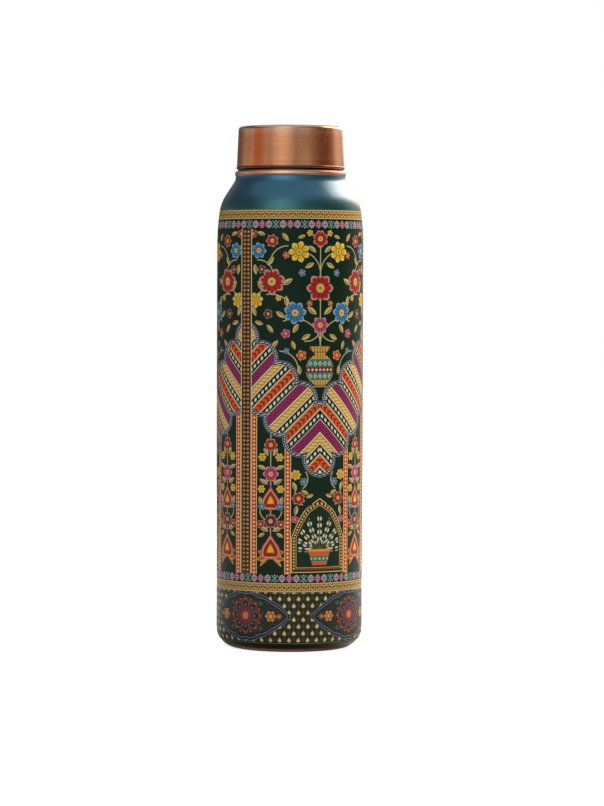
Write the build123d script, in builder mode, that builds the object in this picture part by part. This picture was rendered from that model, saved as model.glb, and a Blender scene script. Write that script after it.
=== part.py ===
"""Printed copper water bottle with a screw cap, about 950 ml.

A spun copper body is closed below by a pressed base pan and above by a turned threaded neck,
both brazed in. A coloured lacquer coat covers the body from the foot to the neck's collar.
The cap is a spun copper shell over a pressed liner, with a silicone gasket that seals on the rim.

The frame has +Z up through the mouth, and its origin at the centre of the base, on the plane
that the bottle stands on. All sizes are in millimetres. Sections are drawn on the XZ plane,
where x is the radius and y is the height, and are revolved about Z.
"""

import os
from math import acos, atan2, cos, degrees, radians, sin, tan

from build123d import *

# ---------------------------------------------------------------- driving sizes

# Sheet and coat
body_sheet = 0.7  # copper of the body and of the base pan
cap_sheet = 0.7  # copper of the cap's outer shell
liner_sheet = 0.8  # copper of the cap's threaded liner
coat_thickness = 0.2  # lacquer and print together

# Body
body_diameter = 73.0  # over the coat, at the straight wall
shoulder_height = 235.0  # from the ground to the underside of the collar
blend_radius, blend_angle = 120.0, 8.0  # the long easy curve where the wall starts to lean in
crown_radius, shoulder_angle = 20.0, 33.0  # the round shoulder, up to its steepest lean
neck_fillet_radius = 6.0  # the hollow curve from the shoulder into the neck

# Base pan
corner_radius = 10.0  # the round corner, on the copper
foot_width = 3.0  # the flat ring that the bottle stands on
punt_height = 3.0  # how far the middle is pressed up
punt_bend = 4.0  # bend radius of the punt's edge
pan_wall_height = 2.5  # straight wall above the corner, level with the outside of the body
joggle_bend = 1.0  # bend radius where the pan's rim steps in to lap inside the body
lap_length = 5.0  # brazed lap of the pan inside the body
coat_edge_height = 4.8  # the coat stops here and leaves the copper foot bare

# Threaded neck
mouth_diameter = 42.0
neck_wall = 1.6
neck_rise = 18.5  # from the top of the collar to the rim
collar_thickness = 2.6
collar_upper_round, collar_lower_round = 1.0, 0.6
collar_step = 0.6  # how far the collar stands out past the cap's lip
collar_overhang = 0.3  # how far it stands out past the coat below it
spigot_length = 2.5  # brazed plug inside the body's neck
spigot_wall = 1.2
rim_round = 0.5

# Thread, which is rolled, right-handed and single-start
thread_depth = 0.9
thread_clearance = 0.3

# Cap
liner_air_gap = 0.6  # between liner and shell at the top
cap_taper = 0.9  # how much wider the shell is at its lip than at its top
cap_edge_round = 1.8
lip_bead_radius = 0.85
lip_stand_out = 0.2  # how far the rolled lip stands out from the shell
lip_gap = 0.8  # open groove between the lip and the collar
liner_bend = 0.3  # tightest bend radius of the pressed liner

# Gasket
gasket_thickness = 2.2
gasket_width = 5.1
gasket_play = 0.2  # between the gasket and the liner's wall
gasket_round = 0.4

# ---------------------------------------------------------------- sizes that follow

coat_radius = body_diameter / 2
body_radius = coat_radius - coat_thickness  # outside of the copper

mouth_radius = mouth_diameter / 2
neck_radius = mouth_radius + neck_wall
liner_inner_radius = neck_radius + thread_depth + thread_clearance
liner_radius = liner_inner_radius + liner_sheet
cap_top_radius = liner_radius + liner_air_gap + cap_sheet
cap_side_radius = cap_top_radius + cap_taper
lip_radius = cap_side_radius + lip_stand_out
collar_radius = lip_radius + collar_step
body_neck_radius = collar_radius - collar_overhang - coat_thickness
body_neck_inner_radius = body_neck_radius - body_sheet

collar_top = shoulder_height + collar_thickness
rim_height = collar_top + neck_rise
gasket_top = rim_height + gasket_thickness
liner_top = gasket_top + liner_sheet
cap_height = liner_top + cap_sheet
lip_height = collar_top + lip_gap
bead_height = lip_height + lip_bead_radius
flange_height = bead_height + lip_bead_radius  # the liner's flange sits on the rolled lip

foot_radius = body_radius - corner_radius

# The cone between the crown and the neck fillet takes up what the bends leave of the shoulder's step.
crown_angle = shoulder_angle - blend_angle
shoulder_step = body_radius - body_neck_radius
cone_length = (
    shoulder_step
    - blend_radius * (1 - cos(radians(blend_angle)))
    - crown_radius * (cos(radians(blend_angle)) - cos(radians(shoulder_angle)))
    - neck_fillet_radius * (1 - cos(radians(shoulder_angle)))
) / sin(radians(shoulder_angle))
shoulder_rise = (
    blend_radius * sin(radians(blend_angle))
    + crown_radius * (sin(radians(shoulder_angle)) - sin(radians(blend_angle)))
    + cone_length * cos(radians(shoulder_angle))
    + neck_fillet_radius * sin(radians(shoulder_angle))
)
straight_wall_top = shoulder_height - shoulder_rise


# ---------------------------------------------------------------- drawing sheet metal


def s_bend(step, bend_radius):
    """Two equal and opposite bends that step a sheet sideways: degrees of each, and the run they take."""
    turn = acos(1 - step / (2 * bend_radius))
    return degrees(turn), 2 * bend_radius * sin(turn)


def formed_line(start, heading, *steps):
    """Draws a formed sheet's outer line inside a BuildLine. A step is the length of a straight
    run, or (radius, degrees) of a bend: positive turns left, towards the inside of the bottle."""
    at, along = Vector(*start), Vector(*heading)
    for step in steps:
        if isinstance(step, tuple):
            radius, turn = step
            piece = JernArc(at, along, radius, turn)
        else:
            piece = Line(at, at + along.normalized() * step)
        at, along = piece @ 1, piece % 1


def body_line(bottom):
    """The outside of the copper body, from a height on its straight wall up to the collar."""
    formed_line(
        (body_radius, bottom),
        (0, 1),
        straight_wall_top - bottom,
        (blend_radius, blend_angle),
        (crown_radius, crown_angle),
        cone_length,
        (neck_fillet_radius, -shoulder_angle),
    )


# ---------------------------------------------------------------- body

# The pan's rim steps in by the body's own thickness, and the body's lower edge starts above that step.
joggle_turn, joggle_run = s_bend(body_sheet, joggle_bend)
seam_height = corner_radius + pan_wall_height + joggle_run

with BuildPart() as bottle_body:
    with BuildSketch(Plane.XZ):
        with BuildLine():
            body_line(seam_height)
            offset(amount=body_sheet, side=Side.LEFT)
        make_face()
    revolve(axis=Axis.Z)

# ---------------------------------------------------------------- base pan

punt_turn, punt_run = s_bend(punt_height, punt_bend)

with BuildPart() as base_pan:
    with BuildSketch(Plane.XZ):
        with BuildLine():
            formed_line(
                (0, punt_height),
                (1, 0),
                foot_radius - foot_width - punt_run,
                (punt_bend, -punt_turn),
                (punt_bend, punt_turn),
                foot_width,
                (corner_radius, 90),
                pan_wall_height,
                (joggle_bend, joggle_turn),
                (joggle_bend, -joggle_turn),
                lap_length,
            )
            offset(amount=body_sheet, side=Side.LEFT)
        make_face()
    revolve(axis=Axis.Z)

# ---------------------------------------------------------------- threaded neck

# One turned ring: a plug brazed into the body's neck, the collar that shows below the cap, and the
# tube that carries the thread. Its bore widens downwards in a cone, so that the bottle pours clean.
plug_foot = shoulder_height - spigot_length
plug_bore_radius = body_neck_inner_radius - spigot_wall

with BuildPart() as threaded_neck:
    with BuildSketch(Plane.XZ):
        with BuildLine():
            Polyline(
                (plug_bore_radius, plug_foot),
                (body_neck_inner_radius, plug_foot),
                (body_neck_inner_radius, shoulder_height),
                (collar_radius, shoulder_height),
                (collar_radius, collar_top),
                (neck_radius, collar_top),
                (neck_radius, rim_height),
                (mouth_radius, rim_height),
                (mouth_radius, collar_top),
                close=True,
            )
        make_face()
    revolve(axis=Axis.Z)
    circles = threaded_neck.edges().filter_by(GeomType.CIRCLE)
    fillet(circles.group_by(Axis.Z)[-1], rim_round)
    collar_edges = circles.group_by(SortBy.RADIUS)[-1]
    fillet(collar_edges.sort_by(Axis.Z)[-1], collar_upper_round)
    fillet(collar_edges.sort_by(Axis.Z)[0], collar_lower_round)

# ---------------------------------------------------------------- printed coat

# The coat follows the copper from the foot's bare edge, round the corner, to the collar.
coat_edge_turn = degrees(acos(1 - coat_edge_height / corner_radius))
coat_edge_run = corner_radius * sin(radians(coat_edge_turn))

with BuildPart() as printed_coat:
    with BuildSketch(Plane.XZ):
        with BuildLine():
            formed_line(
                (foot_radius + coat_edge_run, coat_edge_height),
                (cos(radians(coat_edge_turn)), sin(radians(coat_edge_turn))),
                (corner_radius, 90 - coat_edge_turn),
            )
            body_line(corner_radius)
            offset(amount=coat_thickness, side=Side.RIGHT)
        make_face()
    revolve(axis=Axis.Z)

# ---------------------------------------------------------------- cap shell

# A spun cup that leans in slightly towards its top. Its lower edge is rolled into a bead.
lean = atan2(cap_taper, cap_height - bead_height)

with BuildPart() as cap_shell:
    with BuildSketch(Plane.XZ):
        with BuildLine():
            FilletPolyline(
                (cap_side_radius, bead_height),
                (cap_top_radius, cap_height),
                (0, cap_height),
                radius=cap_edge_round,
            )
            offset(amount=cap_sheet, side=Side.LEFT)
        make_face()
        with Locations((lip_radius - lip_bead_radius, bead_height)):
            Circle(lip_bead_radius)
    revolve(axis=Axis.Z)

# ---------------------------------------------------------------- cap liner

# A pressed cup inside the shell. Its top is bonded under the shell's, and its flange reaches the
# shell's leaning wall just above the rolled lip. The female thread is rolled into its wall.
flange_top = flange_height + liner_sheet
flange_radius = cap_side_radius - (flange_top - bead_height) * tan(lean) - cap_sheet / cos(lean)

with BuildPart() as cap_liner:
    with BuildSketch(Plane.XZ):
        with BuildLine():
            FilletPolyline(
                (flange_radius, flange_height),
                (liner_inner_radius, flange_height),
                (liner_inner_radius, gasket_top),
                (0, gasket_top),
                radius=[liner_sheet + liner_bend, liner_bend],
            )
            offset(amount=liner_sheet, side=Side.RIGHT)
        make_face()
    revolve(axis=Axis.Z)

# ---------------------------------------------------------------- cap gasket

# A flat silicone ring, held by the liner's wall and pressed on the rim of the neck.
gasket_radius = liner_inner_radius - gasket_play

with BuildPart() as cap_gasket:
    with BuildSketch(Plane.XZ):
        with Locations((gasket_radius - gasket_width / 2, rim_height + gasket_thickness / 2)):
            Rectangle(gasket_width, gasket_thickness)
    revolve(axis=Axis.Z)
    fillet(cap_gasket.edges().filter_by(GeomType.CIRCLE), gasket_round)

# ---------------------------------------------------------------- export

pieces = {
    "bottle_body": bottle_body,
    "base_pan": base_pan,
    "threaded_neck": threaded_neck,
    "printed_coat": printed_coat,
    "cap_shell": cap_shell,
    "cap_liner": cap_liner,
    "cap_gasket": cap_gasket,
}
os.makedirs("parts", exist_ok=True)
for name, piece in pieces.items():
    piece.part.label = name
    export_step(piece.part, f"parts/{name}.step")
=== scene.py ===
"""Looks of a printed copper water bottle with a screw cap.

The file follows the bottle as it is put together: the bare copper body and its base pan, the
threaded neck, the lacquer coat with its print, the cap with its liner and gasket, and then the
studio. Lengths are in metres and +Z is up through the mouth.
"""

from functools import reduce

import bmesh
import bpy
import numpy as np
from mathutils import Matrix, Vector


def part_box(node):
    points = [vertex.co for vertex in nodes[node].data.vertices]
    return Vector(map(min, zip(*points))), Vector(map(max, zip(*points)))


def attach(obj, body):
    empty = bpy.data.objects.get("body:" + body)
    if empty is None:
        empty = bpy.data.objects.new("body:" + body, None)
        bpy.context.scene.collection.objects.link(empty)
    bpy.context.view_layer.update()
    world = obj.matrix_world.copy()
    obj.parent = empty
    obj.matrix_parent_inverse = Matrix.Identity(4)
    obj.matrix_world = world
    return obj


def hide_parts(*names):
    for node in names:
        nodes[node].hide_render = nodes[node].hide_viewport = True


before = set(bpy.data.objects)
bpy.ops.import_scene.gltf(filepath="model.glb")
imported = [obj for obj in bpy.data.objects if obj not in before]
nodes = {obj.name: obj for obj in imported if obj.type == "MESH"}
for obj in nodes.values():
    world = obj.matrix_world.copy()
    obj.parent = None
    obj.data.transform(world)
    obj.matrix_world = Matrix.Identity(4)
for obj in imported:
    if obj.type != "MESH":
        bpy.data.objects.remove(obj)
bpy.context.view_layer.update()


# ---------------------------------------------------------------- copper body and base pan
# The body is a spun tube of copper sheet, drawn in at the shoulder. The base pan is pressed and
# brazed into its lower end, and its foot stays bare below the coat. Inside, the copper is left
# as it comes off the lathe: satin, ringed by the tool and a little tarnished.


def new_material(name):
    """An empty material: its node tree and its Principled shader."""
    material = bpy.data.materials.new(name)
    material.use_nodes = True
    tree = material.node_tree
    tree.nodes.clear()
    shader = tree.nodes.new("ShaderNodeBsdfPrincipled")
    output = tree.nodes.new("ShaderNodeOutputMaterial")
    tree.links.new(shader.outputs["BSDF"], output.inputs["Surface"])
    return material, tree, shader


def set_sockets(node, sockets):
    """Sets a node's inputs. Each of sockets is (name or number, value, output or field)."""
    for key, value in sockets:
        value = getattr(value, "output", value)
        if isinstance(value, bpy.types.NodeSocket):
            node.id_data.links.new(value, node.inputs[key])
        else:
            node.inputs[key].default_value = value


def add_node(tree, kind, sockets=(), **settings):
    """Adds a shader node with its settings and its inputs."""
    node = tree.nodes.new("ShaderNode" + kind)
    for key, value in settings.items():
        setattr(node, key, value)
    set_sockets(node, sockets)
    return node


class Field:
    """A number that varies over a surface. Sums and products of fields become shader nodes."""

    def __init__(self, output):
        self.output = output

    def __add__(self, other):
        return calc("ADD", self, other)

    def __sub__(self, other):
        return calc("SUBTRACT", self, other)

    def __rsub__(self, other):
        return calc("SUBTRACT", other, self)

    def __mul__(self, other):
        return calc("MULTIPLY", self, other)

    def __truediv__(self, other):
        return calc("DIVIDE", self, other)

    def __abs__(self):
        return calc("ABSOLUTE", self)

    __radd__, __rmul__ = __add__, __mul__


def calc(operation, *values, clamp=False):
    """A Math node on fields and numbers, in the tree of the first field among them."""
    tree = next(value.output.id_data for value in values if isinstance(value, Field))
    node = add_node(tree, "Math", enumerate(values), operation=operation, use_clamp=clamp)
    return Field(node.outputs[0])


def mix(tree, factor, under, over, **settings):
    """A colour between two: the one under where the factor is 0, the one over where it is 1."""
    sockets = [(0, factor), (6, under), (7, over)]
    return add_node(tree, "Mix", sockets, data_type="RGBA", **settings).outputs[2]


def ramp(field, start, end, top=1.0):
    """Goes evenly from 0, where the field is at the start, to top, where it is at the end."""
    sockets = enumerate([field, start, end, 0.0, top])
    return Field(add_node(field.output.id_data, "MapRange", sockets).outputs[0])


def noise(tree, place, scale, detail, roughness=0.5, distortion=0.0):
    """A soft random field at a place, from 0 to 1."""
    sockets = [("Vector", place), ("Scale", scale), ("Detail", detail),
               ("Roughness", roughness), ("Distortion", distortion)]
    return Field(add_node(tree, "TexNoise", sockets).outputs["Fac"])


def parts_of(place):
    """The x, y and z of a place."""
    return map(Field, add_node(place.id_data, "SeparateXYZ", [(0, place)]).outputs)


def shaded_place(tree):
    """The place being shaded, its x and y, how far it is from the axis, and its height."""
    place = add_node(tree, "TexCoord").outputs["Object"]
    x, y, height = parts_of(place)
    return place, x, y, calc("SQRT", x * x + y * y), height


def turned_place(tree, ring_pitch, grain_length):
    """Coordinates in which a round piece's tool marks have a size of about 1: a mark is
    grain_length long round the axis and ring_pitch wide across it. The third one is radius plus
    height, so that marks are rings on a wall and on a flat end alike."""
    place, x, y, radius, height = shaded_place(tree)
    across = radius + height
    marks = enumerate([x / grain_length, y / grain_length, across / ring_pitch])
    return place, add_node(tree, "CombineXYZ", marks).outputs[0]


def copper(name, light, dark, tarnish, roughness, ring_pitch, grain_length, depth, anisotropy):
    """Copper worked on a lathe. Light and dark are the colours of the tool marks, tarnish is the
    colour of its cloudy patches, and depth is how deep the marks are cut."""
    material, tree, shader = new_material(name)
    place, marks = turned_place(tree, ring_pitch, grain_length)
    fine, broad = noise(tree, marks, 1.0, 3.0), noise(tree, marks, 0.13, 2.0)
    grain = fine * 0.6 + broad * 0.4
    metal = mix(tree, ramp(grain, 0.36, 0.64), dark, light)
    cloud = noise(tree, place, 45.0, 4.0, roughness=0.62, distortion=0.6)
    patch = ramp(cloud, 0.46, 0.72, top=0.75)
    colour = mix(tree, patch, metal, tarnish)
    rough = grain * 0.16 + (roughness - 0.08) + patch * 0.10
    bump = add_node(tree, "Bump", [("Strength", 1.0), ("Distance", depth), ("Height", grain)])
    tangent = add_node(tree, "Tangent", direction_type="RADIAL", axis="Z")
    set_sockets(shader, [
        ("Base Color", colour), ("Roughness", rough), ("Metallic", 1.0),
        ("Normal", bump.outputs[0]), ("Tangent", tangent.outputs[0]),
        ("Anisotropic", anisotropy), ("Anisotropic Rotation", 0.25),
    ])
    return material


def laid_over(material, mask, colour):
    """Lays a colour over a material's own one, as far as the mask says."""
    tree = material.node_tree
    base = tree.nodes["Principled BSDF"].inputs["Base Color"]
    tree.links.new(mix(tree, mask, base.links[0].from_socket, colour), base)


def finish_node(name, material):
    """Gives a CAD node its material."""
    slots = nodes[name].data.materials
    slots.clear()
    slots.append(material)


spun_marks = dict(ring_pitch=0.0005, grain_length=0.03, depth=0.000006, anisotropy=0.4)
spun_copper = copper(
    "spun_copper", light=(0.70, 0.32, 0.17, 1), dark=(0.48, 0.19, 0.09, 1),
    tarnish=(0.34, 0.13, 0.065, 1), roughness=0.36, **spun_marks,
)
finish_node("bottle_body", spun_copper)

# Painted shade: the foot is a darker copy of the body's copper, and next to the coat it is painted
# near black, where it sits in shadow by the floor.
foot_copper = copper(
    "foot_copper", light=(0.56, 0.26, 0.17, 1), dark=(0.36, 0.15, 0.09, 1),
    tarnish=(0.24, 0.10, 0.06, 1), roughness=0.34, **spun_marks,
)
painted_shade_from, painted_shade_to = 0.0316, 0.0326  # radii between which the painted shade sets in
*_, radius, _ = shaded_place(foot_copper.node_tree)
laid_over(foot_copper, ramp(radius, painted_shade_from, painted_shade_to, top=0.97), (0.012, 0.013, 0.006, 1))
finish_node("base_pan", foot_copper)


# ---------------------------------------------------------------- threaded neck
# A turned copper ring, brazed into the body. Its collar shows as a pale line below the cap, and
# the tube above it carries a rolled thread, right-handed and with a single start.

turned_copper = copper(
    "turned_copper", light=(0.82, 0.54, 0.42, 1), dark=(0.72, 0.43, 0.31, 1),
    tarnish=(0.60, 0.33, 0.22, 1), roughness=0.36, ring_pitch=0.0003, grain_length=0.02,
    depth=0.000002, anisotropy=0.3,
)
# Painted shade: the groove above the collar and the collar's lower edge are painted dark, where
# they sit in shadow under the cap's lip and above the coat. Each pair of heights is where it sets
# in.
painted_shade_colour = (0.075, 0.035, 0.022, 1)
groove_bottom, groove_top, collar_foot = (0.23762, 0.2378), (0.2430, 0.2400), (0.2361, 0.2356)
*_, height = shaded_place(turned_copper.node_tree)
in_groove = ramp(height, *groove_bottom) * ramp(height, *groove_top)
below_collar = ramp(height, *collar_foot, top=0.85)
laid_over(turned_copper, calc("MAXIMUM", in_groove, below_collar), painted_shade_colour)
finish_node("threaded_neck", turned_copper)

mm = 0.001
thread_pitch, thread_turns = 6 * mm, 1.75
ridge_height = 0.9 * mm
ridge_foot, ridge_crest = 2.4 * mm, 1.0 * mm  # widths of the thread's ridge
ridge_sink = 0.15 * mm  # how far the ridge's foot is set into its tube
steps_per_turn = 96


def grid_mesh(name, points, around_u, around_v):
    """A mesh on a grid of points, given as an array (rows, columns, 3). A direction that goes
    around joins its last points to its first."""
    rows, columns = points.shape[:2]
    u = np.arange(rows if around_u else rows - 1)[:, None]
    v = np.arange(columns if around_v else columns - 1)[None]
    up, on = (u + 1) % rows, (v + 1) % columns
    quads = np.stack([u * columns + v, u * columns + on, up * columns + on, up * columns + v], -1)
    mesh = bpy.data.meshes.new(name)
    mesh.from_pydata(points.reshape(-1, 3), [], quads.reshape(-1, 4))
    mesh.polygons.foreach_set("use_smooth", np.ones(len(mesh.polygons), bool))
    return mesh


def add_object(name, data):
    """Makes an object and puts it into the scene."""
    obj = bpy.data.objects.new(name, data)
    bpy.context.scene.collection.objects.link(obj)
    return obj


def piece(name, mesh, material, body):
    """Puts a mesh into the scene as a piece that rides on a body."""
    obj = add_object(name, mesh)
    mesh.materials.append(material)
    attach(obj, body)
    return obj


def close_ends(mesh, columns):
    """Closes the two ends of a mesh made on a grid whose columns go around."""
    work = bmesh.new()
    work.from_mesh(mesh)
    work.verts.ensure_lookup_table()
    for ring in (work.verts[:columns], work.verts[-columns:]):
        work.faces.new(ring)
    bmesh.ops.recalc_face_normals(work, faces=work.faces)
    work.to_mesh(mesh)
    work.free()


def thread(name, root, crest, start):
    """A ridge wound along a helix: its trapezoid section is carried round the axis, rises by
    the pitch in each turn, and shrinks into the wall over the first and last eighth of a turn."""
    outwards = np.sign(crest - root)
    turn = np.linspace(0, thread_turns, int(thread_turns * steps_per_turn) + 1)[:, None]
    fade = np.clip(np.minimum(turn, thread_turns - turn) * 8, 0, 1) ** 0.5
    half = np.array([-ridge_foot, -ridge_crest, ridge_crest, ridge_foot]) / 2
    rise = fade * np.array([0, 1, 1, 0]) * (abs(crest - root) + ridge_sink)
    radius = root - outwards * ridge_sink + rise * outwards
    height = start + turn * thread_pitch + half * (0.35 + 0.65 * fade)
    angle = 2 * np.pi * turn
    points = np.stack([radius * np.cos(angle), radius * np.sin(angle), height], -1)
    mesh = grid_mesh(name, points, around_u=False, around_v=True)
    close_ends(mesh, len(half))
    return mesh


neck_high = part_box("threaded_neck")[1]
neck_wall_radius, liner_wall_radius = 22.6 * mm, 23.8 * mm
thread_start = neck_high.z - 13.5 * mm
male = thread("neck_thread", neck_wall_radius, neck_wall_radius + ridge_height, thread_start)
piece("neck_thread", male, turned_copper, "bottle")

# A low step is turned on the collar. The cap's lip stops just above it. It is painted dark by the
# groove's painted shade, so it shows as a dark line in the gap under the lip.
collar_top = neck_high.z - 18.5 * mm
step_inner, step_outer = 24.5 * mm, 26.2 * mm
step_low, step_high = collar_top - 0.1 * mm, collar_top + 0.6 * mm
step_edge = 0.12 * mm  # chamfer of its edges
step_line = np.array([
    (step_outer, step_low),
    (step_outer, step_high - step_edge),
    (step_outer - step_edge, step_high),
    (step_inner + step_edge, step_high),
    (step_inner, step_high - step_edge),
    (step_inner, step_low),
])
step_columns = 160
turn = np.linspace(0, 2 * np.pi, step_columns + 1)[:-1]
step_points = np.stack([step_line[:, :1] * np.cos(turn), step_line[:, :1] * np.sin(turn),
                        np.repeat(step_line[:, 1:], step_columns, 1)], -1)
step_ring = grid_mesh("neck_step", step_points, around_u=True, around_v=True)
piece("neck_step", step_ring, turned_copper, "bottle")


# ---------------------------------------------------------------- lacquer coat and its print
# Dark green lacquer, baked on the copper from just above the foot to the neck's collar. The
# shoulder is left plain and has a metallic sheen. Below it the print goes all round: three bays
# between beaded columns, with a flowering vase over a striped canopy, a niche and side panels.


def edge_ends(mesh):
    """The numbers of the two vertices of each edge."""
    ends = np.empty(len(mesh.edges) * 2, int)
    mesh.edges.foreach_get("vertices", ends)
    return ends.reshape(-1, 2)


def coat_profile():
    """The coat's outer line from its foot to its neck, and its inner line the same way: the
    rings of the solid's mesh, ordered along the edges that join them."""
    mesh = nodes["printed_coat"].data
    places = np.empty(len(mesh.vertices) * 3)
    mesh.vertices.foreach_get("co", places)
    x, y, z = places.reshape(-1, 3).T
    rings, ring_of = np.unique(np.round(np.stack([np.hypot(x, y), z], 1), 6),
                               axis=0, return_inverse=True)
    pairs = ring_of.reshape(-1)[edge_ends(mesh)].tolist()
    beside = {}
    for a, b in {tuple(sorted(pair)) for pair in pairs if pair[0] != pair[1]}:
        beside.setdefault(a, []).append(b)
        beside.setdefault(b, []).append(a)
    top = int(np.lexsort((rings[:, 0], rings[:, 1]))[-1])
    path = [top, min(beside[top], key=lambda ring: rings[ring, 1])]
    while len(path) < len(rings):
        path.append([ring for ring in beside[path[-1]] if ring != path[-2]][0])
    line = rings[path]
    foot = int(np.argmin(line[:, 1]))
    return line[foot::-1], line[foot + 1:]


def refined(line, longest):
    """The same line with points added, so that no part of it is longer than a given length."""
    steps = np.diff(line, axis=0)
    counts = np.maximum(np.ceil(np.hypot(*steps.T) / longest), 1).astype(int)
    rows = [start + step * np.arange(count)[:, None] / count
            for start, step, count in zip(line, steps, counts)]
    return np.vstack([*rows, line[-1:]])


def add_map(mesh, name, u, v):
    """Adds a UV map from the u and v of each face's corners."""
    corners = np.stack([u, v], -1).astype(np.float32)
    mesh.uv_layers.new(name=name).data.foreach_set("uv", corners.ravel())


def coat_mesh(columns):
    """The coat as a lathe: its outer line and then its inner line are carried round the axis.
    Its first map spreads the outside over the square and keeps a strip for the inside. Its
    second map is in millimetres: the way round from the front, and the height."""
    outer, inner = coat_profile()
    outer = refined(outer, 5 * mm)
    line = np.vstack([outer, inner])
    turn = np.linspace(-np.pi, np.pi, columns + 1)[:-1]
    points = np.stack([
        line[:, :1] * np.sin(turn),
        -line[:, :1] * np.cos(turn),
        np.repeat(line[:, 1:], columns, 1),
    ], -1)
    mesh = grid_mesh("printed_coat_skin", points, around_u=True, around_v=True)

    def at_corners(low, high):
        """What a row of faces has at its lower and upper edge, for each corner of each face."""
        return np.stack([low, low, high, high], -1)[:, None].repeat(columns, 1)

    along = np.concatenate([[0], np.cumsum(np.hypot(*np.diff(outer, axis=0).T))])
    outside_top, inside_strip, map_top, margin = 0.985, (0.989, 0.998), 0.9995, 0.001
    spread = np.concatenate([along / along[-1] * outside_top,
                             np.linspace(*inside_strip, len(inner))])
    upward = at_corners(spread, np.append(spread[1:], map_top))
    height = at_corners(line[:, 1], np.roll(line[:, 1], -1))
    column = np.arange(columns)
    across = np.stack([column, column + 1, column + 1, column], -1) / columns
    across = np.broadcast_to(across, upward.shape)
    girth = 2 * np.pi * line[:, 0].max()
    add_map(mesh, "OFBake", *(part * (1 - 2 * margin) + margin for part in (across, upward)))
    add_map(mesh, "print", (across - 0.5) * girth / mm, height / mm)

    first, second = edge_ends(mesh).T // columns
    lips = (0, len(outer) - 1, len(outer), len(line) - 1)
    sharp = (first == second) & np.isin(first, lips)
    mesh.attributes.new("sharp_edge", "BOOLEAN", "EDGE").data.foreach_set("value", sharp)
    return mesh, girth / mm


def least(*fields):
    return reduce(lambda result, field: calc("MINIMUM", result, field), fields)


def most(*fields):
    return reduce(lambda result, field: calc("MAXIMUM", result, field), fields)


def wrap(field, period):
    """Repeats a field: it runs from minus half a period to plus half a period."""
    return calc("WRAP", field, period / 2, -period / 2)


def within(distance, soft=0.1):
    """A mask: 1 where a distance is below 0, with a soft edge."""
    return calc("MULTIPLY_ADD", distance, -0.5 / soft, 0.5, clamp=True)


def band(field, low, high, soft=0.1):
    """A mask: 1 where a field is between two values."""
    return within(abs(field - (low + high) / 2) - (high - low) / 2, soft)


def length(x, y):
    return calc("SQRT", calc("MULTIPLY_ADD", x, x, y * y))


def draw(tint, *masks):
    """Lays a tint over the print where all of the masks are 1."""
    global colour
    colour = mix(tree, least(*masks), colour, tint)


def ink(red, green, blue):
    """A printing ink or lacquer from its colour as seen, each part from 0 to 255."""
    parts = np.array([red, green, blue]) / 255
    linear = np.where(parts > 0.04045, ((parts + 0.055) / 1.055) ** 2.4, parts / 12.92)
    return (*linear, 1)


coat_shape, girth = coat_mesh(columns=256)
print_lacquer, tree, shader = new_material("print_lacquer")
print_place = add_node(tree, "UVMap", uv_map="print").outputs[0]
around, height, _ = parts_of(print_place)

bays = 3
half_bay = girth / bays / 2
first_column = -36 / 360 * girth
from_column = calc("PINGPONG", around - first_column, half_bay)
from_middle = half_bay - from_column
panel_middle = 13.6
from_panel = abs(from_column - panel_middle)

ground_ink, deep_ink, black_ink = ink(14, 38, 25), ink(9, 30, 18), ink(12, 15, 13)
gold_ink, pale_gold_ink, brown_ink = ink(198, 154, 76), ink(222, 194, 128), ink(62, 36, 20)
red_ink, rust_ink, orange_ink = ink(168, 28, 44), ink(186, 72, 40), ink(204, 88, 46)
magenta_ink, bright_magenta_ink, yellow_ink = ink(104, 20, 62), ink(184, 56, 120), ink(222, 176, 34)
blue_ink, teal_ink, navy_ink = ink(40, 118, 180), ink(36, 116, 118), ink(22, 28, 50)
leaf_ink, dark_leaf_ink, twig_ink = ink(196, 176, 118), ink(140, 106, 64), ink(186, 176, 130)
eye_ink, dark_eye_ink = ink(214, 176, 92), ink(150, 116, 46)
cream_ink, steel_ink = ink(208, 210, 188), ink(112, 122, 142)


def plane(x, y):
    """A place on the print from two fields."""
    return add_node(tree, "CombineXYZ", enumerate([x, y])).outputs[0]


def vector_math(operation, first, second=(0, 0, 0)):
    """A Vector Math node's outputs: a vector and a number."""
    return add_node(tree, "VectorMath", [(0, first), (1, second)], operation=operation).outputs


def seen_from(base, x, y):
    """The way to a place from a motif's centre."""
    return vector_math("SUBTRACT", base, (x, y, 0))[0]


def dot_product(first, second):
    return Field(vector_math("DOT_PRODUCT", first, second)[1])


def direction(degrees, size=1):
    """A direction on the print, for measuring in units of a size."""
    turn = np.radians(degrees)
    return np.cos(turn) / size, np.sin(turn) / size, 0


def vector_length(vector):
    return Field(vector_math("LENGTH", vector)[1])


def pick(nearer, old, new):
    """A vector that changes from old to new where nearer is 1."""
    return add_node(tree, "Mix", [(0, nearer), (4, old), (5, new)], data_type="VECTOR").outputs[1]


def nearest(base, motifs):
    """Of a list of (x, y, turn, size, ink), the x and y seen from whichever motif is nearest, in
    its own size, how far away it is and its ink, so that all of them cost one drawing."""
    best = None
    for x, y, turn, size, motif_tint in motifs:
        way = seen_from(base, x, y)
        distance = vector_length(way) / size
        own_axis = direction(turn, size)
        if best is None:
            best, reach, axis, tint = way, distance, own_axis, motif_tint
            continue
        nearer = calc("LESS_THAN", distance, reach)
        best, axis = pick(nearer, best, way), pick(nearer, axis, own_axis)
        reach = least(distance, reach)
        if motif_tint is not None:
            tint = mix(tree, nearer, tint, motif_tint)
    aside = vector_math("CROSS_PRODUCT", (0, 0, 1), axis)[0]
    return dot_product(best, axis), dot_product(best, aside), reach, tint


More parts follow.
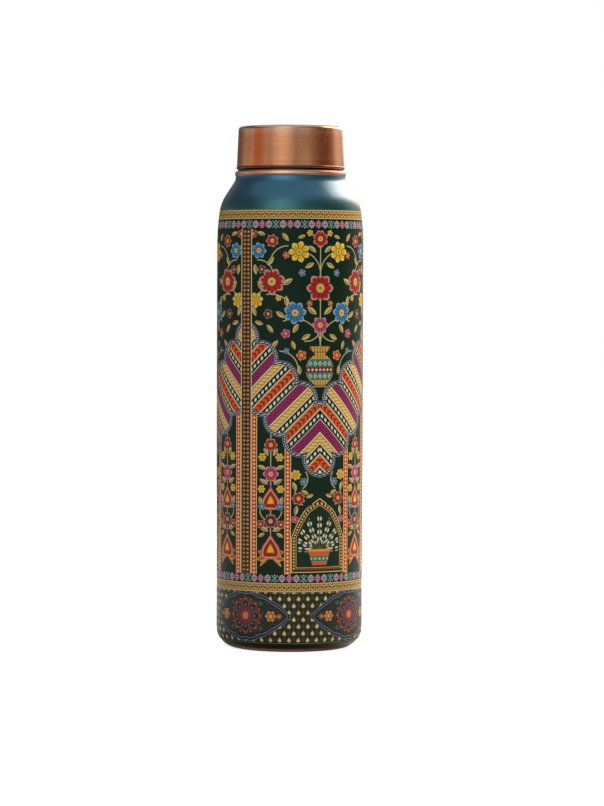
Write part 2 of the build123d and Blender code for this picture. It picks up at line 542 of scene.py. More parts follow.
def rosettes(base, motifs, petals):
    """Round flowers: petals with a paler rim, dark partings and a fine line down each, round a
    gold eye."""
    x, y, reach, tint = nearest(base, motifs)
    wave = calc("COSINE", calc("ARCTAN2", y, x) * petals)
    edge = reach - (0.90 + 0.10 * wave)
    draw(mix(tree, 0.42, tint, cream_ink), within(edge, 0.03))
    draw(tint, within(edge + 0.13, 0.04))
    draw(brown_ink, band(wave, -1.2, -0.86, 0.08), band(reach, 0.36, 0.86, 0.04))
    draw(brown_ink, 0.6 * least(band(wave, 0.93, 1.2, 0.04), band(reach, 0.36, 0.66, 0.06)))
    draw(brown_ink, within(reach - 0.36, 0.04))
    draw(eye_ink, within(reach - 0.30, 0.05))
    draw(dark_eye_ink, within(reach - 0.13, 0.05))


def leaves(base, motifs):
    """Pointed leaves with one half darker, as (x, y, turn, half length)."""
    x, y, _, _ = nearest(base, [(*motif, None) for motif in motifs])
    edge = abs(y) * 2.4 + x * x - 1
    draw(leaf_ink, within(edge, 0.10))
    draw(dark_leaf_ink, within(edge + 0.28, 0.1), within(y, 0.06))


def stems(base, arcs, tint, width=0.46):
    """Thin arcs, each (centre x, centre y, radius, middle angle, half of its angle)."""
    lines = []
    for x, y, radius, middle, half in arcs:
        way = seen_from(base, x, y)
        aside, ahead = (dot_product(way, direction(angle)) for angle in (middle + 90, middle))
        turn = abs(calc("ARCTAN2", aside, ahead)) - np.radians(half)
        lines.append(most(abs(vector_length(way) - radius) - width / 2, turn * radius))
    draw(tint, within(least(*lines), 0.12))


def drops(base, motifs, *rings):
    """Teardrops with their tips up, made of rings from the outside in, each (inset, ink)."""
    x, y, _, _ = nearest(base, [(*motif, None) for motif in motifs])
    outline = abs(x) - (1 - y) * 0.60 * calc("SQRT", most(1 - y * y, 0.0))
    edge = most(outline, abs(y) - 1)
    for inset, tint in rings:
        draw(tint, within(edge + inset, 0.03))


# The ground, a little mottled as baked ink is.
bay_place = plane(from_middle, height)
mottle = noise(tree, print_place, 0.9, 4.0)
colour = mix(tree, band(mottle, 0.50, 0.9, 0.12), ground_ink, deep_ink)

# Garden: a vase in the middle of the bay, and its stems, leaves and flowers.
stems(bay_place, [
    (13.0, 151.5, 13.0, 122.0, 58.0), (25.0, 164.0, 12.5, 130.0, 50.0),
    (11.0, 186.5, 11.0, 136.0, 44.0), (31.0, 186.0, 7.2, 126.0, 44.0),
    (16.5, 191.5, 8.6, 46.0, 46.0), (24.5, 172.0, 8.0, 44.0, 52.0),
    (7.0, 160.5, 7.0, 238.0, 42.0), (20.4, 139.4, 9.2, 138.0, 48.0),
], twig_ink)
draw(twig_ink, within(from_middle - 0.24), band(height, 150, 203))
leaves(bay_place, [
    (4.4, 168.5, 38.0, 3.0), (7.4, 155.6, 150.0, 2.6), (17.0, 173.0, 84.0, 2.7),
    (20.0, 166.5, 214.0, 2.7), (30.2, 180.6, 60.0, 2.8), (33.6, 168.2, 250.0, 2.6),
    (16.6, 182.6, 330.0, 2.9), (5.6, 190.6, 152.0, 2.6), (4.2, 198.6, 40.0, 2.5),
    (17.6, 204.4, 52.0, 2.5), (30.0, 206.2, 16.0, 2.3), (25.0, 192.6, 128.0, 2.6),
    (33.0, 188.6, 262.0, 2.6), (12.5, 159.8, 300.0, 2.6), (10.6, 139.4, 262.0, 2.3),
    (13.6, 151.6, 70.0, 2.3), (22.8, 152.0, 310.0, 2.5), (25.2, 159.6, 50.0, 2.5),
    (31.0, 162.4, 196.0, 2.4), (9.6, 204.6, 340.0, 2.0),
])
rosettes(bay_place, [
    (0.0, 179.5, 0.0, 7.2, red_ink), (12.8, 167.4, 20.0, 5.6, blue_ink),
    (24.4, 182.6, 10.0, 6.6, red_ink), (10.8, 197.2, 0.0, 5.2, yellow_ink),
    (31.2, 197.8, 30.0, 4.0, blue_ink), (24.2, 202.6, 0.0, 3.2, red_ink),
    (32.6, 173.6, 15.0, 3.8, yellow_ink), (0.0, 203.6, 22.0, 4.2, red_ink),
    (0.0, 161.4, 0.0, 4.4, bright_magenta_ink),
], petals=7)
rosettes(bay_place, [
    (17.4, 157.2, 0.0, 2.3, bright_magenta_ink), (9.6, 146.6, 0.0, 2.6, orange_ink),
    (17.0, 148.8, 0.0, 1.5, blue_ink), (21.0, 174.6, 0.0, 1.5, yellow_ink),
    (9.4, 187.0, 0.0, 1.8, blue_ink), (5.6, 172.0, 0.0, 1.5, orange_ink),
    (29.6, 188.6, 0.0, 2.1, magenta_ink), (17.2, 195.6, 0.0, 1.7, orange_ink),
    (34.4, 206.0, 0.0, 2.2, red_ink), (5.4, 206.4, 0.0, 1.6, yellow_ink),
    (26.2, 166.8, 0.0, 2.4, magenta_ink),
], petals=5)

# The vase: a foot, a round belly and a flared neck, banded in blue and gold.
vase_foot, vase_tall, belly_height, belly_half = 131.0, 20.0, 8.5, 7.6
vase_height = height - vase_foot
belly = calc("POWER", abs(vase_height - belly_height) / 8.0, 2.0)
belly = belly_half * calc("SQRT", most(1 - belly, 0.0))
flare = least(2.2 + 0.10 * calc("POWER", most(vase_height - 13.0, 0.0), 2.0), 5.4)
outline = from_middle - most(belly, flare, 4.4 - 0.9 * vase_height)
vase = least(within(outline, 0.12), band(vase_height, 0.0, vase_tall))
draw(gold_ink, vase)
draw(teal_ink, within(outline + 0.6, 0.12), band(vase_height, 3.4, 13.8))
draw(magenta_ink, vase, band(vase_height, 7.2, 9.8))
draw(pale_gold_ink, vase, within(length(wrap(from_middle, 2.0), vase_height - belly_height) - 0.62))
petal = abs(wrap(from_middle, 2.6)) + abs(abs(vase_height - belly_height) - 3.1) * 0.8
draw(pale_gold_ink, within(outline + 1.2), band(petal, 0.55, 1.0, 0.12))
draw(red_ink, within(outline + 1.2), within(petal - 0.35))
flute = least(abs(wrap(from_middle, 1.5)) - 0.16, abs(abs(vase_height - 9.0) - 8.2) - 0.18)
draw(brown_ink, vase, within(flute), within(5.6 - abs(vase_height - 8.6)))
draw(brown_ink, band(outline, -0.32, 0.12), band(vase_height, 0.0, vase_tall))

# Canopy: a striped cloth hung between the columns, low in the middle and scalloped above and
# below. Its stripes lie across it, and each has its own small pattern.
along = (from_middle + height) * 0.5 ** 0.5
across = (height - from_middle) * 0.5 ** 0.5
cloth_low, cloth_high, scallop_radius, scallop_pitch = 62.0, 87.0, 9.0, 14.0
scallop_drop = (scallop_radius ** 2 - (scallop_pitch / 2) ** 2) ** 0.5
scallop = wrap(along - (cloth_low + scallop_drop), scallop_pitch)
cloth = most(
    length(scallop, most(across - (cloth_high - scallop_drop), 0.0)),
    length(scallop, most((cloth_low + scallop_drop) - across, 0.0)),
) - scallop_radius
hem_beads = length(wrap(along + across * 0.55, 1.35), cloth + 1.02) - 0.40
draw(ink(120, 126, 146), within(cloth, 0.12))
draw(navy_ink, within(cloth + 0.28))
draw(ink(184, 188, 190), within(hem_beads))
draw(ink(140, 146, 156), within(cloth + 1.78))
inner_cloth = within(cloth + 2.05)
cycle, gold_end, magenta_end, orange_start, orange_end = 20.0, 4.0, 8.6, 12.0, 16.6
orange_middle = (orange_start + orange_end) / 2
stripe = wrap(along - 3.0, cycle) + cycle / 2


def stripe_part(tint, low, high, *marks):
    """Draws a part of each cycle of stripes, where the marks are too."""
    draw(tint, inner_cloth, band(stripe, low, high), *marks)


rope = within(length(wrap(across + 0.9 * stripe, 2.2) * 1.5, stripe - gold_end / 2) - 1.1, 0.25)
knot = abs(wrap(stripe + across, 2.3)) + abs(wrap(stripe - across, 2.3))
dash = least(within(abs(abs(stripe - orange_middle) - 4.0) - 0.6, 0.12),
             within(abs(wrap(across - 0.6 * stripe, 2.7)) - 0.78))
chevron = within(abs(wrap(across + abs(stripe - orange_middle), 2.7)) - 0.62, 0.12)
stripe_part(pale_gold_ink, 0.0, gold_end)
stripe_part(ink(178, 136, 66), 0.45, 3.55)
stripe_part(ink(222, 190, 120), 0.6, 3.4, rope)
stripe_part(magenta_ink, gold_end, magenta_end)
stripe_part(ink(160, 56, 112), 4.5, 8.1, band(knot, 0.7, 1.2, 0.15))
stripe_part(ink(64, 12, 42), 4.5, 8.1, within(knot - 0.45, 0.1))
stripe_part(black_ink, magenta_end, cycle)
stripe_part(cream_ink, magenta_end, cycle, dash)
stripe_part(gold_ink, orange_start, orange_end)
stripe_part(orange_ink, 12.6, 16.0)
stripe_part(ink(138, 22, 28), 12.9, 15.7, chevron)
ends = (gold_end, magenta_end, orange_start, orange_end)
seams = least(*(abs(stripe - end) for end in ends), cycle / 2 - abs(stripe - cycle / 2)) - 0.16
draw(cream_ink, inner_cloth, within(seams))

# Niche: a pointed arch with a beaded border, and a potted bush in it.
niche_foot, spring, rise, reach = 42.6, 57.0, 16.0, 11.8
lift = most(height - spring, 0.0) / rise
niche = from_middle - reach * calc("POWER", most(1 - lift, 0.0), 0.55)
niche = niche * (1 - 0.3 * least(lift, 1.0))
niche = most(niche, niche_foot - height, (height - spring - rise) * 0.75 + from_middle * 0.5)
around_niche = calc("ARCTAN2", most(height - spring, 0.0), from_middle) * 13.0
around_niche = around_niche + least(height - spring, 0.0)
draw(pale_gold_ink, within(niche - 2.6))
draw(brown_ink, within(niche - 2.25))
draw(pale_gold_ink, within(length(wrap(around_niche, 1.5), niche - 1.25) - 0.42))
draw(gold_ink, within(niche - 0.35))
draw(ink(17, 40, 31), within(niche))
bush_root, bush_size, twig_turn = 50.0, 17.0, 0.36
bush_height = height - bush_root
bush_reach = length(from_middle, bush_height)
bush_turn = calc("ARCTAN2", from_middle, bush_height)
twig = wrap(bush_turn, twig_turn) * bush_reach
leaf_step = wrap(bush_reach + 1.6 * calc("FLOOR", bush_turn / twig_turn + 0.5), 3.3)
twigs = most(abs(twig) - 0.14, bush_reach - bush_size, (bush_turn - 1.35) * 10, niche + 0.8)
draw(dark_leaf_ink, within(twigs))
sprig = abs(abs(twig) - 0.75) * 1.9 + leaf_step * leaf_step * 0.62 - 0.85
draw(cream_ink, within(sprig, 0.12), band(bush_reach, 4.5, bush_size + 0.5),
     within(bush_turn - 1.5), within(niche + 0.9))
pot_height = height - 43.0
pot = least(within(from_middle - (3.6 + 0.30 * pot_height)), band(pot_height, 0.6, 8.4))
draw(orange_ink, pot)
draw(teal_ink, pot, band(pot_height, 2.4, 5.2))
draw(yellow_ink, pot, within(length(wrap(from_middle, 2.2), pot_height - 3.8) - 0.6))
draw(gold_ink, pot, band(pot_height, 7.4, 8.4))

# Beside the niche, a spray of flowers on each side.
stems(bay_place, [(4.4, 80.0, 8.0, 342.0, 40.0), (11.6, 86.0, 5.4, 190.0, 50.0)], twig_ink)
leaves(bay_place, [
    (12.0, 70.6, 100.0, 2.4), (7.6, 79.4, 30.0, 2.2), (12.8, 82.4, 70.0, 2.4),
    (5.2, 77.6, 160.0, 2.0),
])
rosettes(bay_place, [
    (10.8, 76.4, 0.0, 3.3, red_ink), (12.2, 88.0, 20.0, 2.6, yellow_ink),
    (8.2, 84.6, 0.0, 2.0, blue_ink), (12.6, 66.2, 0.0, 1.9, bright_magenta_ink),
], petals=7)

# Side panels: flowers one above the other on each side of the niche, below the canopy.
panel_place = plane(from_panel, height)
draw(twig_ink, within(from_panel - 0.24), band(height, 58, 108), within(cloth * -1.0))
fan_foot, fan_size, fan_lobes = 47.5, 6.1, 11
fan_turn = calc("ARCTAN2", from_panel, height - fan_foot)
fan_reach = length(from_panel, height - fan_foot)
fan = fan_reach - (fan_size + 0.9 * calc("COSINE", fan_turn * fan_lobes))
fan = most(fan, (fan_turn - 2.3) * 6)
draw(gold_ink, within(fan, 0.12))
draw(rust_ink, within(fan + 0.5), band(calc("COSINE", fan_turn * fan_lobes), -0.2, 1.2, 0.1))
stems(panel_place, [
    (3.6, 66.0, 4.4, 200.0, 60.0), (0.0, 70.8, 5.6, 312.0, 42.0), (3.6, 88.0, 3.8, 210.0, 60.0),
], leaf_ink)
leaves(panel_place, [
    (3.4, 61.4, 24.0, 2.6), (5.2, 74.8, 76.0, 2.6), (3.6, 84.6, 30.0, 2.5),
    (4.6, 91.6, 20.0, 2.4), (2.4, 99.2, 58.0, 2.2), (4.6, 58.4, 330.0, 2.0),
])
drops(panel_place, [(0.0, 53.0, 0.0, 6.6), (0.0, 76.8, 0.0, 6.2)], (0.0, bright_magenta_ink),
      (0.10, gold_ink), (0.22, ground_ink), (0.31, red_ink), (0.52, yellow_ink))
rosettes(panel_place, [
    (0.0, 65.2, 0.0, 3.6, magenta_ink), (5.2, 63.6, 0.0, 2.1, red_ink),
    (0.0, 88.4, 0.0, 4.0, bright_magenta_ink), (4.8, 81.0, 0.0, 2.0, yellow_ink),
    (0.0, 102.6, 0.0, 3.4, red_ink), (4.4, 96.6, 0.0, 2.1, yellow_ink),
    (4.6, 72.4, 0.0, 1.9, blue_ink),
], petals=6)

# Strips of pale dots on orange, on both sides of the panels.
inner_strip, outer_strip, dot_pitch = 4.8, 22.1, 1.9
from_strip = least(abs(from_column - inner_strip), abs(from_column - outer_strip))
strip = least(within(from_strip - 1.55), within(cloth * -1.0))
strip = least(strip, within(across - cloth_low - 8.0))
draw(pale_gold_ink, strip)
draw(rust_ink, strip, within(from_strip - 1.2))
draw(ink(240, 200, 160), strip, within(length(from_strip, wrap(height, dot_pitch)) - 0.52))
small_dot = length(from_strip - 0.85, wrap(height + dot_pitch / 2, dot_pitch)) - 0.3
draw(red_ink, strip, within(small_dot))

# Columns, over everything else: two rows of gold beads on brown between pale gold lines.
column_half, bead_pitch = 3.2, 2.05
draw(ink(206, 192, 150), within(from_column - column_half))
draw(ink(64, 40, 26), within(from_column - (column_half - 0.45)))
bead = length((from_column - 1.15) * 0.8, wrap(height, bead_pitch)) - 0.66
draw(ink(144, 104, 70), within(bead))
draw(ink(200, 168, 124), within(bead + 0.38))
draw(ink(120, 74, 44), within(from_column - 0.16), band(wrap(height, bead_pitch), -0.3, 0.3))


def gold_band(low, high):
    """A gold band with a dense running scroll in brown, and a pale line along each edge."""
    rise = height - (low + high) / 2
    reach = abs(rise) - (high - low) / 2
    period = girth / 48
    draw(brown_ink, within(reach))
    draw(ink(186, 178, 140), within(reach + 0.18))
    draw(ink(184, 144, 82), within(reach + 0.55))
    scroll = abs(rise - 0.9 * calc("SINE", around * (2 * np.pi / period))) - 0.26
    curl = abs(length(wrap(around - period / 4, period), rise + 0.25) - 0.78) - 0.22
    other = abs(length(wrap(around + period / 4, period), rise - 0.25) - 0.78) - 0.22
    bud = length(wrap(around, period / 2), rise) - 0.4
    fill = length(wrap(around, period / 4), abs(rise) - 1.42) - 0.3
    draw(ink(96, 60, 30), within(least(scroll, curl, other, bud, fill)), within(reach + 0.7))
    spark = length(wrap(around - period / 8, period / 4), abs(rise) - 0.72) - 0.22
    draw(ink(220, 196, 140), within(spark), within(reach + 0.7))


def jewel_band(low, high):
    """Jewels set side by side on black: a crossed teal one, and pale and magenta rings."""
    half = (high - low) / 2
    rise = height - (low + high) / 2
    period = girth / 16
    jewel = period / 4
    step = wrap(around, jewel)
    number = abs(calc("FLOOR", wrap(around, period) / jewel + 0.5))
    crossed, outer = band(number, 1.5, 2.5, 0.01), band(number, 0.5, 1.5, 0.01)
    reach = length(step, rise)
    draw(ink(30, 27, 23), within(abs(rise) - half))
    ring_tint = mix(tree, outer, ink(152, 76, 112), ink(146, 148, 162))
    draw(ring_tint, within(reach - half * 0.92), 1 - crossed)
    draw(navy_ink, within(reach - half * 0.60), 1 - crossed)
    petal = length(abs(step) - half * 0.28, abs(rise) - half * 0.28) - half * 0.24
    draw(ink(186, 142, 158), within(petal), 1 - crossed)
    cross = abs(abs(step) - abs(rise))
    inside = within(most(abs(step), abs(rise)) - half * 0.92)
    draw(ink(40, 112, 106), within(cross - 0.62), crossed, inside)
    draw(ink(150, 178, 168), within(cross - 0.14), crossed, inside)
    dot = length(step, abs(rise) - half * 0.86) - 0.3
    draw(ink(206, 202, 200), within(dot), within(abs(rise) - half))


# Below the field: a dark base with small drops in rows.
base_foot, base_top = 5.2, 33.0
base = within(height - base_top, 0.05)
draw(ink(42, 39, 22), base)
row_pitch, drop_pitch = 3.4, girth / 49
row = calc("FLOOR", (height - base_foot) / row_pitch)
drop_x = wrap(around + row * (drop_pitch / 2), drop_pitch)
drop_y = wrap(height - base_foot - row_pitch / 2, row_pitch) / 1.35
drop = abs(drop_x) - (1.15 - drop_y) * 0.80 * calc("SQRT", most(1 - abs(drop_y), 0.0))
drop = most(drop, abs(drop_y) - 1)
dim = length(abs(drop_x) - drop_pitch / 2, drop_y * 0.9) - 0.72
draw(ink(64, 50, 56), base, within(dim, 0.15))
draw(ink(146, 134, 86), base, within(drop, 0.12))
draw(ink(202, 191, 144), base, within(drop + 0.3, 0.15))

# Four pointed medallions on the base, each with a round ornament between two flowers.
medallion_pitch, medallion_half, medallion_middle, medallion_tall = girth / 4, 22.4, 18.4, 10.6
medallion_x = abs(wrap(around - first_column, medallion_pitch))
medallion_y = height - medallion_middle
share = least(medallion_x / medallion_half, 1.0)
lobe = abs(calc("SINE", share * (3 * np.pi)))
width = medallion_tall * calc("POWER", most(1 - calc("POWER", share, 1.7), 0.0), 0.85)
width = width + 0.9 * lobe * (1 - share)
medallion = most((abs(medallion_y) - width) * 0.82, medallion_x - medallion_half)
draw(steel_ink, within(medallion - 1.2))
draw(navy_ink, within(medallion - 0.92))
draw(steel_ink, within(medallion - 0.1))
draw(ink(36, 37, 32), within(medallion + 0.22))
medallion_place = plane(medallion_x, medallion_y)
mandala_reach = length(medallion_x, medallion_y)
mandala_turn = calc("ARCTAN2", medallion_y, medallion_x)
mandala_lobes, lattice_pitch = 8, 2.0
wave = calc("COSINE", mandala_turn * mandala_lobes)
inner_medallion = within(medallion + 0.8)
lattice = length(wrap(medallion_x, lattice_pitch), wrap(medallion_y, lattice_pitch)) - 0.42
draw(ink(82, 60, 54), within(medallion + 1.0), within(lattice))
half_pitch = lattice_pitch / 2
lattice = length(wrap(medallion_x - half_pitch, lattice_pitch),
                 wrap(medallion_y - half_pitch, lattice_pitch)) - 0.3
draw(ink(56, 76, 72), within(medallion + 1.0), within(lattice))
for size, depth, tint in (
    (9.6, 0.9, ink(62, 46, 52)), (8.0, 0.9, ink(124, 70, 44)), (6.9, 0.8, ink(42, 40, 50)),
    (5.3, 0.7, ink(84, 54, 66)), (3.6, 0.5, ink(124, 48, 58)), (1.8, 0.2, ink(180, 126, 72)),
):
    draw(tint, inner_medallion, within(mandala_reach - size - depth * wave))
for bead_reach, turn_scale, size, tint in ((8.4, 8.6, 0.5, ink(170, 104, 52)),
                                           (5.4, 5.4, 0.42, ink(112, 114, 122))):
    beads = length(wrap(mandala_turn, np.pi / mandala_lobes) * turn_scale,
                   mandala_reach - bead_reach) - size
    draw(tint, inner_medallion, within(beads))
corner_dot = length(medallion_x - 8.6, abs(medallion_y) - 6.2) - 1.1
draw(ink(40, 88, 80), inner_medallion, within(corner_dot))
rosettes(medallion_place, [
    (13.8, 0.0, 0.0, 2.7, ink(190, 108, 42)), (18.0, 0.0, 0.0, 1.2, rust_ink),
], petals=6)

# The base's scalloped line, its bands, and the dark edge with a thin line at the foot.
edge_scallop = length(wrap(around, girth / 60), height - 31.9) - 2.0
draw(ink(120, 116, 88), base, band(edge_scallop, -0.2, 0.2), within(height - 30.1))
gold_band(30.3, 35.0)
draw(black_ink, band(height, 35.0, 39.1))
jewel_band(35.3, 38.9)
draw(black_ink, within(height - (base_foot + 0.3)))
draw(ink(104, 112, 78), band(height, 4.88, base_foot))

# Above the field: the same bands again, and then the plain shoulder, whose teal lacquer is painted
# bluer towards its top as a painted reflection of light from above.
shoulder_foot = 217.9
draw(black_ink, band(height, 208.4, 213.1))
jewel_band(208.8, 212.5)
gold_band(213.2, shoulder_foot)
shoulder = band(height, shoulder_foot, 260.0, 0.05)
# Painted reflection: teal low on the shoulder, bluer higher up.
shade = calc("MULTIPLY_ADD", height, 1 / 7, -218.0 / 7, clamp=True)
draw(mix(tree, shade, ink(44, 104, 97), ink(54, 113, 143)), shoulder)

# The lacquer over all of it: a little speckled, with an amber tinge over the print.
speck = noise(tree, print_place, 1.9, 4.0, roughness=0.7)
level = 0.62 + 0.28 * speck + 0.12 * mottle
amber = level * (0.92 + 0.08 * shoulder)
veil = add_node(tree, "CombineColor", enumerate([level, level, amber]))
wear = noise(tree, print_place, 0.12, 5.0, roughness=0.6)
rough = 0.32 + 0.12 * wear + 0.06 * speck - 0.08 * shoulder
bump = add_node(tree, "Bump", [("Strength", 1.0), ("Distance", 0.000004), ("Height", speck)])
set_sockets(shader, [
    ("Base Color", mix(tree, 1.0, colour, veil.outputs[0], blend_type="MULTIPLY")),
    ("Roughness", rough), ("Metallic", 0.8 * shoulder),
    ("Normal", bump.outputs[0]), ("Coat Weight", 0.8 * shoulder),
    ("Coat Roughness", 0.26), ("Specular IOR Level", 0.10),
])

coat = piece("printed_coat_skin", coat_shape, print_lacquer, "bottle")
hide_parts("printed_coat")


# ---------------------------------------------------------------- cap
# A spun copper cup, brushed round its axis, over a pressed liner that carries the female thread.
# Its lower edge is rolled, and a silicone ring inside seals on the neck's rim.

brushed_copper = copper(
    "brushed_copper", light=(0.77, 0.365, 0.19, 1), dark=(0.64, 0.28, 0.135, 1),
    tarnish=(0.56, 0.215, 0.095, 1), roughness=0.24, ring_pitch=0.00022, grain_length=0.012,
    depth=0.000002, anisotropy=0.6,
)
# Painted highlight: the shell is painted paler towards its top edge, where the round catches light
# from above. Painted shade: the rolled lip is painted dark, where it lies in shadow. Each pair is
# the heights or radii between which that sets in.
painted_highlight_heights, painted_highlight_radii, lip_heights = (0.2545, 0.2595), (0.0225, 0.0250), (0.2400, 0.2394)
*_, radius, height = shaded_place(brushed_copper.node_tree)
painted_highlight = ramp(height, *painted_highlight_heights, top=0.5) * ramp(radius, *painted_highlight_radii)
laid_over(brushed_copper, painted_highlight, (1.0, 0.78, 0.66, 1))
laid_over(brushed_copper, ramp(height, *lip_heights), painted_shade_colour)
finish_node("cap_shell", brushed_copper)
finish_node("cap_liner", spun_copper)
female = thread("liner_thread", liner_wall_radius, liner_wall_radius - ridge_height,
                thread_start - thread_pitch / 2)
piece("liner_thread", female, spun_copper, "cap")

silicone, tree, shader = new_material("silicone")
dust = noise(tree, add_node(tree, "TexCoord").outputs["Object"], 900.0, 3.0)
set_sockets(shader, [
    ("Base Color", mix(tree, dust, (0.80, 0.79, 0.75, 1), (0.90, 0.89, 0.86, 1))),
    ("Roughness", 0.55), ("Subsurface Weight", 0.3),
    ("Subsurface Radius", (0.002, 0.0018, 0.0015)),
])
finish_node("cap_gasket", silicone)


# ---------------------------------------------------------------- studio
# A plain pale floor and background. The key lamp stands high behind the right shoulder, a softer
# one in front and a weak one on the right. A ring of grey and white cards round the bottle, with
# a bright strip for the key lamp, shapes its reflections.


def round_the_axis(azimuth, distance, height):
    """A place round the bottle. Azimuth 0 is in front, 90 on the right, in degrees."""
    turn = np.radians(azimuth)
    return distance * np.sin(turn), -distance * np.cos(turn), height


def soft_lamp(name, azimuth, distance, height, width, tall, watts, colour=(1, 1, 1)):
    """A rectangular lamp that looks at the bottle's middle."""
    light = bpy.data.lights.new(name, "AREA")
    light.shape = "RECTANGLE"
    light.size, light.size_y, light.energy, light.color = width, tall, watts, colour
    lamp = add_object(name, light)
    lamp.location = round_the_axis(azimuth, distance, height)
    lamp.rotation_euler = (bottle_middle - lamp.location).to_track_quat("-Z", "Y").to_euler()
    return lamp


def ray_kinds(tree):
    """Whether a ray comes straight from the camera, and whether it comes by a reflection."""
    rays = add_node(tree, "LightPath").outputs
    kinds = ("Camera", "Glossy", "Transmission")
    seen, *mirrored = (Field(rays[f"Is {kind} Ray"]) for kind in kinds)
    return seen, calc("MAXIMUM", *mirrored)


bottle_middle = Vector((0, 0, 0.15))
key = soft_lamp("key", 118, 0.88, 0.95, 0.75, 0.34, 24.0, colour=(1.0, 0.94, 0.82))
key.visible_glossy = False  # the key card stands for it in reflections
soft_lamp("front", -16, 1.5, 0.95, 0.9, 0.7, 12.0)
soft_lamp("right", 50, 1.3, 1.3, 0.5, 0.5, 1.0)

scene = bpy.context.scene
world = bpy.data.worlds.new("studio")
scene.world = world
world.use_nodes = True
tree = world.node_tree
tree.nodes.clear()
clear = calc("MAXIMUM", *ray_kinds(tree))
fill_level = 0.25  # how much of the white background lights the bottle evenly from all sides
level = clear * (1 - fill_level) + fill_level
background = add_node(tree, "Background", [("Color", (1, 1, 1, 1)), ("Strength", level)])
add_node(tree, "OutputWorld", [("Surface", background.outputs[0])])


def shaded(mesh, shades):
    """Stores how bright a card is at each of its points, for the cards' material."""
    level = mesh.color_attributes.new("level", "FLOAT_COLOR", "POINT")
    level.data.foreach_set("color", np.asarray(shades, np.float32).ravel())
    return mesh


# The ring of cards: (azimuth, grey level low down, warmth, grey level high up) at its corners,
# shaded evenly in between.
cards = np.array([
    (-180, 0.05, 0.0, 0.75), (-156, 0.14, 0.0, 0.24), (-136, 0.15, 0.2, 0.11),
    (-112, 0.56, 0.2, 0.10), (-99, 0.52, 0.2, 0.09), (-91, 0.66, 0.3, 0.08),
    (-82, 0.62, 1.3, 0.10), (-70, 0.58, 1.5, 0.12), (-60, 0.62, 0.6, 0.20),
    (-44, 0.54, 0.15, 0.30), (-31, 0.50, 0.0, 0.38), (-26, 0.47, 0.0, 0.39),
    (-18, 0.31, 0.0, 0.38), (2, 0.29, 0.0, 0.34), (10, 0.34, 0.0, 0.32), (34, 0.58, 0.0, 0.20),
    (50, 0.32, 0.4, 0.10), (65, 0.18, 1.3, 0.06), (85, 0.13, 1.3, 0.06), (100, 0.28, 0.8, 0.12),
    (116, 0.85, 0.1, 0.50), (140, 0.72, 0.0, 0.50), (158, 0.38, 0.0, 0.40), (172, 0.20, 0.0, 0.65),
    (180, 0.05, 0.0, 0.75),
])
ring_radius, ring_columns = 0.75, 180
ring_foot, low_height, high_height, ring_height = 0.0005, 0.34, 0.46, 1.0
azimuth = np.linspace(-180, 180, ring_columns + 1)[:-1]
low, warm, high = (np.interp(azimuth, cards[:, 0], part) for part in cards[:, 1:].T)
streaks = 1 + 0.10 * np.sin(np.radians(azimuth) * 31) + 0.08 * np.sin(np.radians(azimuth) * 19 + 1)
low = low * streaks
ring_points = np.stack([
    np.stack(round_the_axis(azimuth, ring_radius, np.full(ring_columns, row)), -1)
    for row in (ring_foot, low_height, high_height, ring_height)
])
low_shade = np.stack([low, low * (1 - 0.42 * warm), low * (1 - 0.58 * warm), 0 * low + 1], -1)
high_shade = np.stack([high, high, high, 0 * high + 1], -1)
ring_mesh = shaded(grid_mesh("card_ring", ring_points, around_u=False, around_v=True),
                   [low_shade, low_shade, high_shade, high_shade])
ceiling_mesh = bpy.data.meshes.new("card_ceiling")
ceiling_mesh.from_pydata(ring_points[-1], [], [range(ring_columns)])
shaded(ceiling_mesh, np.tile((0.5, 0.5, 0.5, 1.0), ring_columns))

# The key card is a long strip that runs from high on the right to low behind, brightest along its
# middle. It is warm, because the shoulder's lacquer takes the red out of what it reflects.
key_from, key_to = np.array([92.0, 51.0]), np.array([168.0, 8.0])  # azimuth and elevation
key_half_width, key_distance, key_centre, key_level = 13.5, 0.62, 0.225, 10.0
along_key = np.linspace(0, 1, 41)[:, None, None]
across_key = np.linspace(-1, 1, 17)[None, :, None]
run = key_to - key_from
aside = np.array([-run[1], run[0]]) / np.hypot(*run)
key_turns = key_from + run * along_key + aside * key_half_width * across_key
key_azimuth, key_elevation = np.moveaxis(key_turns, -1, 0)
flat_reach = key_distance * np.cos(np.radians(key_elevation))
key_height = key_centre + key_distance * np.sin(np.radians(key_elevation))
key_points = np.stack(round_the_axis(key_azimuth, flat_reach, key_height), -1)
glow = np.interp(along_key, (0, 0.14, 0.3, 0.55, 0.8, 1), (0, 0.8, 1, 0.9, 0.45, 0.1))
glow = glow * np.cos(np.pi / 2 * across_key) ** 2 * key_level
key_green, key_blue = 0.62 + 0.26 * along_key, 0.44 + 0.30 * along_key
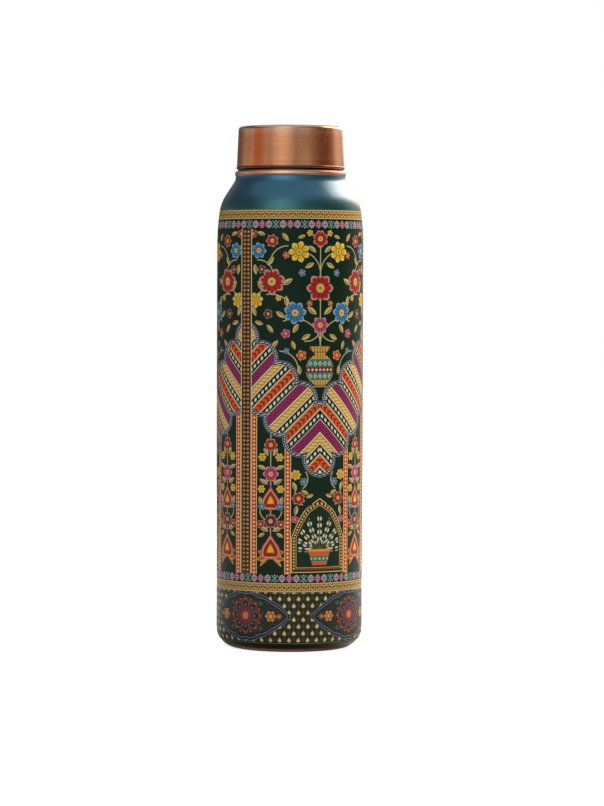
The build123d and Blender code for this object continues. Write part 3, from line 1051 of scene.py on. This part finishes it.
key_shade = np.concatenate([glow, glow * key_green, glow * key_blue, 0 * glow + 1], -1)
key_mesh = shaded(grid_mesh("card_key", key_points, around_u=False, around_v=False), key_shade)

card_paper, tree, shader = new_material("card_paper")
shade = add_node(tree, "Attribute", attribute_name="level").outputs["Color"]
set_sockets(shader, [
    ("Emission Color", shade), ("Emission Strength", 1.0), ("Base Color", (0, 0, 0, 1)),
    ("Specular IOR Level", 0.0), ("Roughness", 1.0),
])
for mesh in (ring_mesh, ceiling_mesh, key_mesh):
    mesh.materials.append(card_paper)
    card = add_object(mesh.name, mesh)
    card.visible_camera = card.visible_diffuse = False
    card.visible_shadow = card.visible_transmission = False

# The floor is white to the camera and in reflections, but in reflections it is faded darker towards
# the bottle's foot as a painted shadow, and it keeps the bottle's shadow.
corner = 10.0
dark_near = 0.035, 0.30  # distances from the axis over which its reflection brightens
floor_mesh = bpy.data.meshes.new("floor")
floor_corners = [(-corner, -corner, 0), (corner, -corner, 0), (corner, corner, 0),
                 (-corner, corner, 0)]
floor_mesh.from_pydata(floor_corners, [], [range(4)])
floor = add_object("floor", floor_mesh)
pale, tree, shader = new_material("pale_floor")
floor_mesh.materials.append(pale)
seen, mirrored = ray_kinds(tree)
place = add_node(tree, "TexCoord").outputs["Object"]
lit = ramp(vector_length(place), *dark_near)
clear = calc("MAXIMUM", seen, mirrored * lit)
set_sockets(shader, [
    ("Base Color", (0.82, 0.82, 0.82, 1)), ("Roughness", 0.9), ("Specular IOR Level", 0.0),
    ("Emission Color", (1, 1, 1, 1)), ("Emission Strength", clear * 0.8),
])

camera = bpy.data.cameras.new("camera")
camera.sensor_width = 36.0
camera.lens = 146.5
camera.clip_end = 100
look_down, look_right, roll = np.radians(2.05), np.radians(0.207), np.radians(-0.2)
eye_distance, eye_height = 1.64, 0.1807
eye = add_object("camera", camera)
eye.location = (0, -eye_distance, eye_height)
eye.rotation_euler = (np.pi / 2 - look_down, roll, -look_right)
scene.camera = eye
scene.view_settings.view_transform = "Standard"
